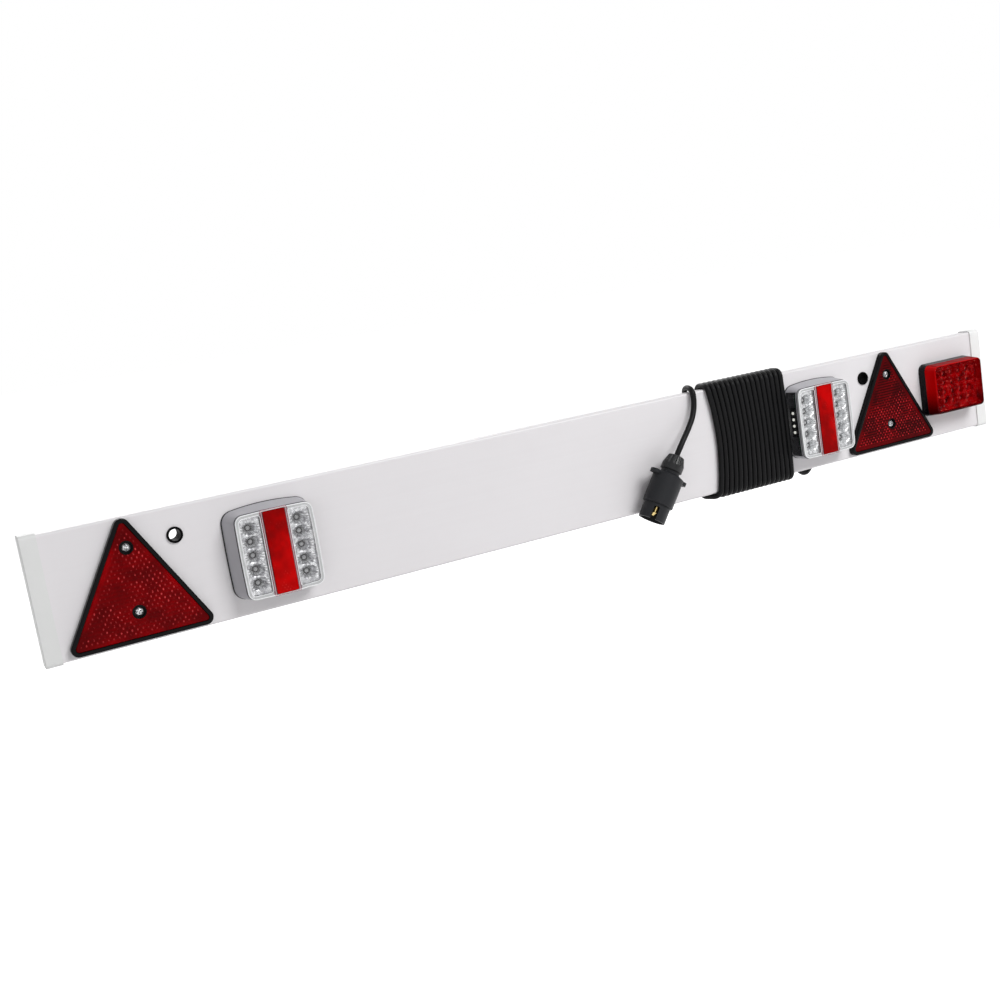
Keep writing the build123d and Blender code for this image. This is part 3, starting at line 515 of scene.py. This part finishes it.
def lens_clear(side):
    """Clear lens: thin in its two windows, milky where its border, spine and edges are thick."""
    low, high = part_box(f"{side}_lamp_lens")
    finish = Finish(f"{side}_lens_clear", roughness=0.06, IOR=PLASTIC_IOR)
    raised = finish.between(finish.axis("Y", low.y), 0.4 * MM, 1.4 * MM, 1.0, 0.0)
    window = finish.times(finish.facing("Y"), finish.math("SUBTRACT", 1.0, raised))
    across = finish.math("ABSOLUTE", finish.axis("X", (low.x + high.x) / 2))
    spine = finish.between(across, (SPINE_HALF + 0.2) * MM, (SPINE_HALF + 0.8) * MM, 1.0, 0.0)
    cloud = finish.noise(scale=120.0, detail=2.0)
    milk = finish.mix(cloud, (0.72, 0.73, 0.74), (0.88, 0.89, 0.90))
    finish.feed(Base_Color=finish.mix(spine, milk, (0.40, 0.20, 0.24)))
    finish.feed(Alpha=finish.between(window, 0.0, 1.0, 0.58, 0.06))
    finish.uneven(scale=240.0, detail=3.0, low=0.05, high=0.1)
    return finish.material


def chrome(name, dark, light, metallic, patch=230.0, relief=0.8, **sockets):
    """Vacuum-metallised plastic with a faintly wavy skin: its reflections are painted as light and dark
    patches, and the faces marked by the flute attribute get painted shade.
    """
    finish = Finish(name, roughness=0.12, Metallic=metallic, **sockets)
    # painted reflections: light and dark patches
    colour = finish.mix(finish.patches(patch, detail=3.0, low=0.38, high=0.62), dark, light)
    flute = finish.add("ShaderNodeAttribute", {}, output="Fac", attribute_name="flute")
    # painted shade: darker on the faces that the flute attribute marks
    finish.feed(Base_Color=finish.mix(finish.times(flute, relief), colour, scaled(dark, 0.4)))
    finish.uneven(scale=700.0, detail=2.0, low=0.08, high=0.22)
    finish.bump(finish.noise(scale=420.0, detail=2.0), depth=0.2, strength=0.3)
    return finish.material


def steel(name, colour, roughness):
    """Plated metal with fine turning marks and worn spots."""
    finish = Finish(name, roughness, Metallic=1.0)
    wear = finish.patches(420.0, 4.0, *NOISE_SPAN)
    finish.feed(Base_Color=finish.mix(wear, scaled(colour, 0.62), colour))
    finish.uneven(scale=900.0, detail=3.0, low=roughness * 0.7, high=roughness * 1.5)
    finish.bump(finish.noise(scale=1500.0, detail=2.0), depth=0.05, strength=0.5)
    return finish.material


def fog_red():
    """Red cover of the fog lamp: see-through in front with painted glints, solid in its walls, which darken
    downwards as painted shade, with a plainer painted red on top.
    """
    low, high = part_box("fog_lamp_lens")
    finish = Finish("fog_red", roughness=0.1)
    front, top = finish.facing("Y"), finish.facing("Z")
    cloud = finish.patches(scale=90.0, detail=4.0, low=0.36, high=0.64)
    film = finish.mix(cloud, shade(72, 0, 2), shade(196, 0, 4))
    dots = finish.lattice(pitch=7.5, row=6.7, core=0.1, rim=0.2)
    # painted highlights: pink glints on some prisms, also made opaque
    glints = finish.between(finish.times(dots, finish.noise(scale=160.0, detail=1.0)), 0.5, 0.64)
    film = finish.mix(glints, film, shade(244, 84, 74))
    # painted shade: the walls darken towards the bottom
    rise = finish.between(finish.axis("Z", low.z), 0.0, (high.z - low.z) * 0.6)
    wall = finish.mix(rise, shade(48, 0, 2), shade(196, 2, 6))
    # painted light: the top face gets a plainer red for the light that falls on it
    wall = finish.mix(top, wall, shade(140, 0, 5))
    finish.feed(Base_Color=finish.mix(front, wall, film))
    finish.feed(Specular_IOR_Level=finish.between(top, 0.0, 1.0, 0.04, 0.004))
    finish.feed(Alpha=finish.math("MAXIMUM", finish.between(front, 0.0, 1.0, 1.0, 0.14), glints))
    finish.uneven(scale=200.0, detail=3.0, low=0.06, high=0.14)
    finish.bump(finish.noise(scale=500.0, detail=2.0), depth=0.05, strength=0.3, edge=1.2)
    return finish.material


def cable_black():
    """Semi-matt sheath with dull patches and faint ripples."""
    finish = Finish("cable_black", roughness=0.42, Specular_IOR_Level=0.12)
    cloud = finish.noise(scale=60.0, detail=4.0)
    finish.feed(Base_Color=finish.mix(cloud, shade(9, 9, 10), shade(17, 17, 19)))
    finish.uneven(scale=120.0, detail=4.0, low=0.34, high=0.5)
    finish.bump(finish.noise(scale=900.0, detail=3.0), depth=0.1, strength=0.4)
    return finish.material


# Looks of the plain mouldings
MOULDINGS = {
    "cap_white": dict(colour=shade(226, 227, 226), roughness=0.42, mottle=0.02, grain=0.02),
    # painted light: the right end cap is whiter than the left, for the light that falls on it
    "right_cap_painted_light": dict(colour=shade(238, 239, 238), roughness=0.42, mottle=0.02),
    "bush_black": dict(colour=shade(9, 9, 10), roughness=0.5, Specular_IOR_Level=0.02),
    "triangle_black": dict(colour=shade(8, 8, 9), roughness=0.2, edge=1.2, Specular_IOR_Level=0.08),
    "housing_grey": dict(colour=shade(178, 177, 182), roughness=0.42, grain=0.04),
    "circuit_green": dict(colour=(0.04, 0.20, 0.10), roughness=0.4),
    "circuit_black": dict(colour=(0.006, 0.006, 0.006), roughness=0.4),
    # painted shade: the LED domes are greyed so that they read dark in the bowls' throats
    "led_clear": dict(colour=(0.48, 0.48, 0.49), roughness=0.08),
    "led_red": dict(colour=(0.80, 0.12, 0.11), roughness=0.12, Specular_IOR_Level=0.1),
    # painted highlight: the plate lamp's LEDs glow so that they show as bright dots
    "plate_leds": dict(
        colour=(0.9, 0.9, 0.86), roughness=0.2, Emission_Color=(1.0, 1.0, 0.92, 1.0), Emission_Strength=1.7
    ),
    "fog_black": dict(colour=shade(15, 11, 15), roughness=0.25, Specular_IOR_Level=0.12),
    "gland_black": dict(colour=shade(16, 16, 18), roughness=0.55, Specular_IOR_Level=0.15),
    "plug_black": dict(
        colour=shade(27, 28, 31), roughness=0.48, mottle=0.12, grain=0.08, Specular_IOR_Level=0.2
    ),
    "nut_black": dict(
        colour=shade(16, 17, 19), roughness=0.3, mottle=0.12, edge=1.2, Specular_IOR_Level=0.3
    ),
    "carrier_black": dict(colour=shade(12, 12, 13), roughness=0.5, Specular_IOR_Level=0.15),
    # painted highlight: near-white beads on the clear lens's lips
    "rim_highlight": dict(colour=(0.92, 0.93, 0.94), roughness=0.2),
    "lens_seam": dict(colour=(0.09, 0.09, 0.10), roughness=0.5, Specular_IOR_Level=0.1),
    "strip_line": dict(colour=(0.06, 0.004, 0.006), roughness=0.3, Specular_IOR_Level=0.1),
    # painted highlight: pinkish white line along the spine
    "spine_line": dict(colour=(0.90, 0.70, 0.71), roughness=0.3),
    # painted shade: the sockets are black where the throats of the bowls lie in shade
    "socket_shade_black": dict(colour=(0.008, 0.006, 0.007), roughness=0.5, Specular_IOR_Level=0.05),
    # painted shadow: black band at the lamp's foot
    "foot_shadow_black": dict(colour=(0.02, 0.02, 0.022), roughness=0.7),
}
# Looks of the metallised surfaces
CHROMES = {
    "screw_steel": dict(dark=(0.08, 0.08, 0.09), light=(0.84, 0.84, 0.85), metallic=0.6, patch=560.0),
    # painted light: the right bowls are lighter copies of the left, for the light that falls on them
    "left_chrome": dict(dark=(0.34, 0.34, 0.36), light=(0.94, 0.95, 0.96), metallic=0.6),
    "right_chrome": dict(dark=(0.48, 0.49, 0.50), light=(0.97, 0.98, 0.99), metallic=0.65),
    "fog_chrome": dict(
        dark=(0.14, 0.0, 0.001), light=(0.52, 0.004, 0.006), metallic=0.0, patch=130.0, relief=0.3,
        Specular_IOR_Level=0.04,
    ),
}
FINISHES = {
    "board_white": board_white(),
    "strip_red": strip_red(),
    "window_clear": clear_plastic("window_clear", colour=(0.03, 0.03, 0.033), alpha=0.42),
    "spine_wall": clear_plastic("spine_wall", colour=(0.16, 0.07, 0.09), alpha=0.8),
    "bolt_steel": steel("bolt_steel", colour=(0.66, 0.66, 0.66), roughness=0.32),
    "pin_brass": steel("pin_brass", colour=(0.86, 0.66, 0.28), roughness=0.18),
    "fog_red": fog_red(),
    "cable_black": cable_black(),
}
FINISHES.update({name: moulded(name, **look) for name, look in MOULDINGS.items()})
FINISHES.update({name: chrome(name, **look) for name, look in CHROMES.items()})


def dress_nodes():
    """Give every CAD node its own finish or that of its slot in the record."""
    own = {"right_end_cap": FINISHES["right_cap_painted_light"], "plug_gland_nut": FINISHES["nut_black"]}
    for side in SIDES:
        own[f"{side}_triangle_lens"] = triangle_red(side)
        own[f"{side}_lamp_lens"] = lens_clear(side)
        own[f"{side}_lamp_plate_leds"] = FINISHES["plate_leds"]
        own[f"{side}_lamp_reflector"] = FINISHES[f"{side}_chrome"]
    for subpart in frame["record"]["subparts"]:
        node = subpart["node"]
        finish = own[node] if node in own else FINISHES[subpart["material_slot"]]
        for holder in NODES[node].material_slots:
            holder.material = finish


# Pieces


def add_piece(name, data, finish):
    """Link a mesh or curve as a piece that rides on the board."""
    data.materials.append(FINISHES[finish])
    piece = bpy.data.objects.new(name, data)
    bpy.context.collection.objects.link(piece)
    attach(piece, "root")
    return piece


def cable_points():
    """Control points of the whole cable: lead-in, turns round the board, tail."""
    points = []
    for turn in range(TURNS):
        edge = TURN_FIRST - TURN_PITCH * turn
        bow = TURN_FIRST_MIDDLE - TURN_MIDDLE_PITCH * turn - edge
        shift = LAST_TURN_SHIFT if turn == TURNS - 1 else 0.0
        for lean, bowed, shifted, depth, height in TURN_POINTS:
            points.append((edge + lean + bowed * bow - shifted * shift, depth, height))
    # The lead-in comes up where the first turn's lowest rear point would be
    return LEAD_IN_ROUTE + points[1:] + TAIL_ROUTE


def add_cable():
    """The supply cable on one smooth line, from its gland to its plug."""
    curve = bpy.data.curves.new("supply_cable", "CURVE")
    curve.dimensions = "3D"
    spline = curve.splines.new("NURBS")
    points = cable_points()
    spline.points.add(len(points) - 1)
    for point, (x, y, z) in zip(spline.points, points):
        point.co = (BOARD_RIGHT_END + x * MM, y * MM, BOARD_MIDDLE + z * MM, 1.0)
    spline.order_u = 3
    spline.use_endpoint_u = True
    spline.resolution_u = 8
    curve.bevel_depth = CABLE_DIAMETER * MM / 2
    curve.bevel_resolution = 5
    cable = add_piece("supply_cable", curve, "cable_black")
    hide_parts("cable_lead_in", "cable_winding", "cable_tail")


# Outlines on the front of the lamps, as flat points in millimetres from a lamp's middle


def ray(angle):
    return Vector((math.cos(angle), math.sin(angle)))


def arc(centre, radius, start, end, steps):
    """Points along an arc, with both its ends."""
    return [centre + radius * ray(start + (end - start) * step / steps) for step in range(steps + 1)]


def bowed_outline(width, height, corner, bows):
    """Points round a rectangle with bowed sides and rounded corners."""
    x, z = width / 2, height / 2
    side_radius = ((z - bows[1]) ** 2 + bows[0] ** 2) / (2 * bows[0])
    top_radius = ((x - bows[0]) ** 2 + bows[1] ** 2) / (2 * bows[1])
    side_centre = Vector((x - side_radius, 0))
    top_centre = Vector((0, z - top_radius))
    meets = intersect_sphere_sphere_2d(
        side_centre, side_radius - corner, top_centre, top_radius - corner
    )
    centre = max(meets, key=lambda point: point.x + point.y)
    start, end = centre - side_centre, centre - top_centre
    first, last = math.atan2(start.y, start.x), math.atan2(end.y, end.x)
    quarter = arc(side_centre, side_radius, 0.0, first, OUTLINE_STEPS)[:-1]
    quarter += arc(centre, corner, first, last, OUTLINE_STEPS)
    quarter += arc(top_centre, top_radius, last, math.pi / 2, OUTLINE_STEPS)[1:-1]
    quarter.append(Vector((0, z)))
    right = [Vector((p.x, -p.y)) for p in reversed(quarter[1:])] + quarter
    left = [Vector((-p.x, p.y)) for p in reversed(right[1:-1])]
    return right + left


def lens_outline(width, height, out):
    """Outline of a lamp's lens, moved out all round."""
    return bowed_outline(width + 2 * out, height + 2 * out, LENS_CORNER + out, LENS_BOWS)


def window_loop(outline, inner, hand):
    """Half of a lens outline beyond the spine, closed by a straight inner edge."""
    bend = inner + WINDOW_CORNER
    loop = sorted((p for p in outline if p.x > bend), key=lambda p: math.atan2(p.y, p.x))
    low, high = loop[0].y + WINDOW_CORNER, loop[-1].y - WINDOW_CORNER
    loop += arc(Vector((bend, high)), WINDOW_CORNER, math.pi / 2, math.pi, WINDOW_STEPS)
    loop += arc(Vector((bend, low)), WINDOW_CORNER, math.pi, 3 * math.pi / 2, WINDOW_STEPS)
    return [Vector((hand * p.x, p.y)) for p in loop]


def grid(columns, rows, pitch_x, pitch_z):
    """Centres of a grid of cells round the middle."""
    across = [(index - (columns - 1) / 2) * pitch_x for index in range(columns)]
    up = [(index - (rows - 1) / 2) * pitch_z for index in range(rows)]
    return [Vector((x, z)) for x in across for z in up]


# Meshes and beads from flat points and their lifts off the board


def front_size(low, high):
    """Width and height of a box in millimetres."""
    return (high.x - low.x) / MM, (high.z - low.z) / MM


def lift_of(y):
    """How far a depth in the model lies off the board, in millimetres."""
    return (BOARD_FRONT - y) / MM


def lifted(loop, lift):
    return [(flat, lift) for flat in loop]


def on_front(middle, flat, lift):
    """Place in the model of a flat point on a lamp, lifted off the board."""
    return Vector((middle.x + flat.x * MM, BOARD_FRONT - lift * MM, middle.z + flat.y * MM))


def add_row(build, spots, middle):
    """Vertices at flat points with their lifts."""
    return [build.verts.new(on_front(middle, flat, lift)) for flat, lift in spots]


def add_skin(build, loops, middle):
    """Skin over closed loops, one after the other, as a list of faces for each pair of loops."""
    rows = [add_row(build, loop, middle) for loop in loops]
    rings = []
    for outer, inner in zip(rows, rows[1:]):
        quads = zip(outer, outer[1:] + outer[:1], inner[1:] + inner[:1], inner)
        rings.append([build.faces.new(quad) for quad in quads])
    return rings


def add_mesh(name, build, finish):
    """Turn what was built into a piece."""
    mesh = bpy.data.meshes.new(name)
    build.to_mesh(mesh)
    build.free()
    return add_piece(name, mesh, finish)


def add_beads(name, loops, lift, thickness, finish, middle):
    """Thin round beads along closed loops on a lamp's lens."""
    curve = bpy.data.curves.new(name, "CURVE")
    curve.dimensions = "3D"
    for loop in loops:
        spline = curve.splines.new("POLY")
        spline.points.add(len(loop) - 1)
        for point, flat in zip(spline.points, loop):
            point.co = (*on_front(middle, flat, lift), 1.0)
        spline.use_cyclic_u = True
    curve.bevel_depth = thickness * MM / 2
    curve.bevel_resolution = 2
    add_piece(name, curve, finish)


def bowl_loops(centre, cell, mouth, throat, depth, lift):
    """Loops of a fluted bowl, from the edge of its cell down to its throat."""
    rays = [ray(2 * math.pi * (step + 0.5) / BOWL_FACETS) for step in range(BOWL_FACETS)]
    reaches = [min(cell[0] / 2 / abs(spoke.x), cell[1] / 2 / abs(spoke.y)) for spoke in rays]
    loops = [lifted([centre + spoke * reach for spoke, reach in zip(rays, reaches)], lift)]
    for ring in range(BOWL_RINGS + 1):
        share = ring / BOWL_RINGS
        across, up = [size / 2 + (throat - size) / 2 * share for size in mouth]
        loop = []
        for step, spoke in enumerate(rays):
            flute = 1 - FLUTE_DEPTH * (step % 2) * math.sin(math.pi * share)
            loop.append(centre + flute * Vector((across * spoke.x, up * spoke.y)))
        loops.append(lifted(loop, lift - depth * share ** BOWL_CURVE))
    return loops


def add_bowls(name, centres, cell, mouth, throat, depth, lift, lands, middle, finish):
    """Plate of fluted bowls, one in each cell, open at the bottom, with lands beside them; a face attribute
    carries each face's painted shade.
    """
    build = bmesh.new()
    painted_shades = build.faces.layers.float.new("flute")
    for centre in centres:
        rings = add_skin(build, bowl_loops(centre, cell, mouth, throat, depth, lift), middle)
        for ring, faces in enumerate(rings):
            for step, face in enumerate(faces):
                # painted shade: alternate flutes darker, less so towards the throat, and the corners of the
                # cell darker
                face[painted_shades] = (step % 2) * (1 - ring / BOWL_RINGS) if ring else CELL_PAINTED_SHADE
    for left, right, low, high, tone in lands:
        corners = [Vector((left, low)), Vector((right, low)), Vector((right, high)), Vector((left, high))]
        face = build.faces.new(add_row(build, lifted(corners, lift), middle))
        face[painted_shades] = tone
    return add_mesh(name, build, finish)


def add_sockets(name, centres, socket, floor, middle):
    """Black conical socket round each LED, painted shade where the bowl's throat lies dark."""
    inner, outer, height = socket
    top = floor + height
    profile = ((outer, floor + SOCKET_FOOT), (outer * SOCKET_TAPER, top), (inner, top), (inner, floor))
    build = bmesh.new()
    for centre in centres:
        loops = []
        for radius, lift in profile:
            circle = arc(centre, radius, 0.0, 2 * math.pi, SOCKET_STEPS)[:-1]
            loops.append(lifted(circle, lift))
        add_skin(build, loops, middle)
    add_mesh(name, build, "socket_shade_black")


# Lamps


def add_lens_lines(side, middle, width, height, lift):
    """Beads along the lens's edge, in the seam at its foot, round its windows and its reflex strip; those
    on the edge, the windows and the spine are painted highlights.
    """
    rim, seam, border = [lens_outline(width, height, out) for out in (RIM_OUT, SEAM_OUT, -LENS_BORDER)]
    windows = [window_loop(border, SPINE_HALF + WINDOW_GAP, hand) for hand in HANDS]
    add_beads(f"{side}_lamp_lens_rim", [rim], lift - RIM_DROP, RIM_BEAD, "rim_highlight", middle)
    add_beads(f"{side}_lamp_lens_seam", [seam], lift - SEAM_DROP, SEAM_BEAD, "lens_seam", middle)
    add_beads(f"{side}_lamp_window_rims", windows, lift - WINDOW_DROP, WINDOW_BEAD, "rim_highlight", middle)
    strip_width, strip_height = front_size(*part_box(f"{side}_lamp_reflex_strip"))
    for line, out in STRIP_LINES.items():
        x, z = strip_width / 2 + out, strip_height / 2 + out
        loop = [Vector((-x, -z)), Vector((x, -z)), Vector((x, z)), Vector((-x, z))]
        add_beads(f"{side}_lamp_{line}", [loop], lift + STRIP_LINE_RISE, STRIP_LINE_BEAD, line, middle)


def add_lamp_bowls(side, middle):
    """Fluted bowls in two columns, black sockets round the LEDs as painted shade, and the spine between the
    columns.
    """
    low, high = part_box(f"{side}_lamp_reflector")
    lift, floor = lift_of(low.y), lift_of(high.y)
    edge, top = [size / 2 for size in front_size(low, high)]
    rises = [spot.y for spot in grid(1, CUP_COUNT, 0.0, CUP_PITCH)]
    cups = [Vector((hand * CUP_COLUMN, rise)) for hand in HANDS for rise in rises]
    cell = (2 * (edge - CUP_COLUMN), CUP_PITCH)
    last = CUP_COUNT * CUP_PITCH / 2
    inner, outer = 2 * CUP_COLUMN - edge, edge - LAND_INSET
    lands = []
    for hand in HANDS:
        start, end = sorted((hand * inner, hand * outer))
        lands.append((start, end, last, top, LAND_PAINTED_SHADE))
        for step in range(LAND_STRIPS):
            ends = [start + (end - start) * share / LAND_STRIPS for share in (step, step + 1)]
            lands.append((*ends, -top, -last, LAND_STRIP_PAINTED_SHADES[step % 2]))
    bowls = add_bowls(
        f"{side}_lamp_bowls", cups, cell, CUP_MOUTH, CUP_THROAT, lift - floor, lift, lands, middle,
        f"{side}_chrome",
    )
    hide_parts(f"{side}_lamp_reflector")
    add_sockets(f"{side}_lamp_led_sockets", cups, LAMP_SOCKET, floor, middle)
    add_spine_walls(side, middle, top - SPINE_WALL_SHORT, lift)


def add_spine_walls(side, middle, half, lift):
    """Inner walls of the lens's spine, seen through its windows."""
    build = bmesh.new()
    for hand in HANDS:
        x = hand * (SPINE_HALF + SPINE_WALL_OUT)
        ends = [Vector((x, -half)), Vector((x, half))]
        spots = lifted(ends, lift + SPINE_WALL_FROM) + lifted(ends[::-1], lift + SPINE_WALL_TO)
        build.faces.new(add_row(build, spots, middle))
    add_mesh(f"{side}_lamp_spine_walls", build, "spine_wall")


def add_foot_shadow(side):
    """Black band round the lamp's foot, painted contact shadow where it meets the board."""
    low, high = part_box(f"{side}_lamp_housing")
    width, height = front_size(low, high)
    outer = bowed_outline(
        width + FOOT_SHADOW_WIDER, height + FOOT_SHADOW_TALLER, LAMP_BASE_CORNER + FOOT_SHADOW_CORNER, LAMP_BASE_BOWS
    )
    inner = bowed_outline(
        width - FOOT_SHADOW_NARROWER, height - FOOT_SHADOW_NARROWER, LAMP_BASE_CORNER - FOOT_SHADOW_CORNER, LAMP_BASE_BOWS
    )
    build = bmesh.new()
    loops = [lifted(outer, FOOT_SHADOW_FROM), lifted(outer, FOOT_SHADOW_TO), lifted(inner, FOOT_SHADOW_TO)]
    add_skin(build, loops, (low + high) / 2)
    add_mesh(f"{side}_lamp_foot_shadow", build, "foot_shadow_black")


def add_lamp(side):
    """What a lamp shows beyond its solids."""
    low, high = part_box(f"{side}_lamp_lens")
    middle = (low + high) / 2
    width = front_size(low, high)[0]
    add_lens_lines(side, middle, width, width + LENS_TALLER, lift_of(low.y))
    add_lamp_bowls(side, middle)
    add_foot_shadow(side)


def add_fog_lamp():
    """Red-tinted bowls and black sockets, painted shade in their throats, behind the fog lamp's cover."""
    low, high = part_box("fog_lamp_circuit_board")
    middle, floor = (low + high) / 2, lift_of(low.y)
    half_x, half_z = [size / 2 - FOG_DRAFT for size in front_size(*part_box("fog_lamp_lens"))]
    cups = grid(FOG_CUP_COLUMNS, FOG_CUP_ROWS, FOG_CUP_PITCH_X, FOG_CUP_PITCH_Z)
    cell = (FOG_CUP_PITCH_X, FOG_CUP_PITCH_Z)
    edge, top = FOG_CUP_COLUMNS * FOG_CUP_PITCH_X / 2, FOG_CUP_ROWS * FOG_CUP_PITCH_Z / 2
    lands = [(-half_x, half_x, top, half_z, 0.0), (-half_x, half_x, -half_z, -top, 0.0)]
    lands += [(-half_x, -edge, -top, top, 0.0), (edge, half_x, -top, top, 0.0)]
    add_bowls(
        "fog_lamp_bowls", cups, cell, FOG_CUP_MOUTH, FOG_CUP_THROAT, FOG_CUP_DEPTH, floor + FOG_CUP_DEPTH,
        lands, middle, "fog_chrome",
    )
    add_sockets("fog_lamp_led_sockets", cups, FOG_SOCKET, floor, middle)


add_camera()
add_world()
for light_name, light_values in LIGHTS.items():
    add_light(light_name, *light_values)
add_floor()
dress_nodes()
add_cable()
for lamp_side in SIDES:
    add_lamp(lamp_side)
add_fog_lamp()
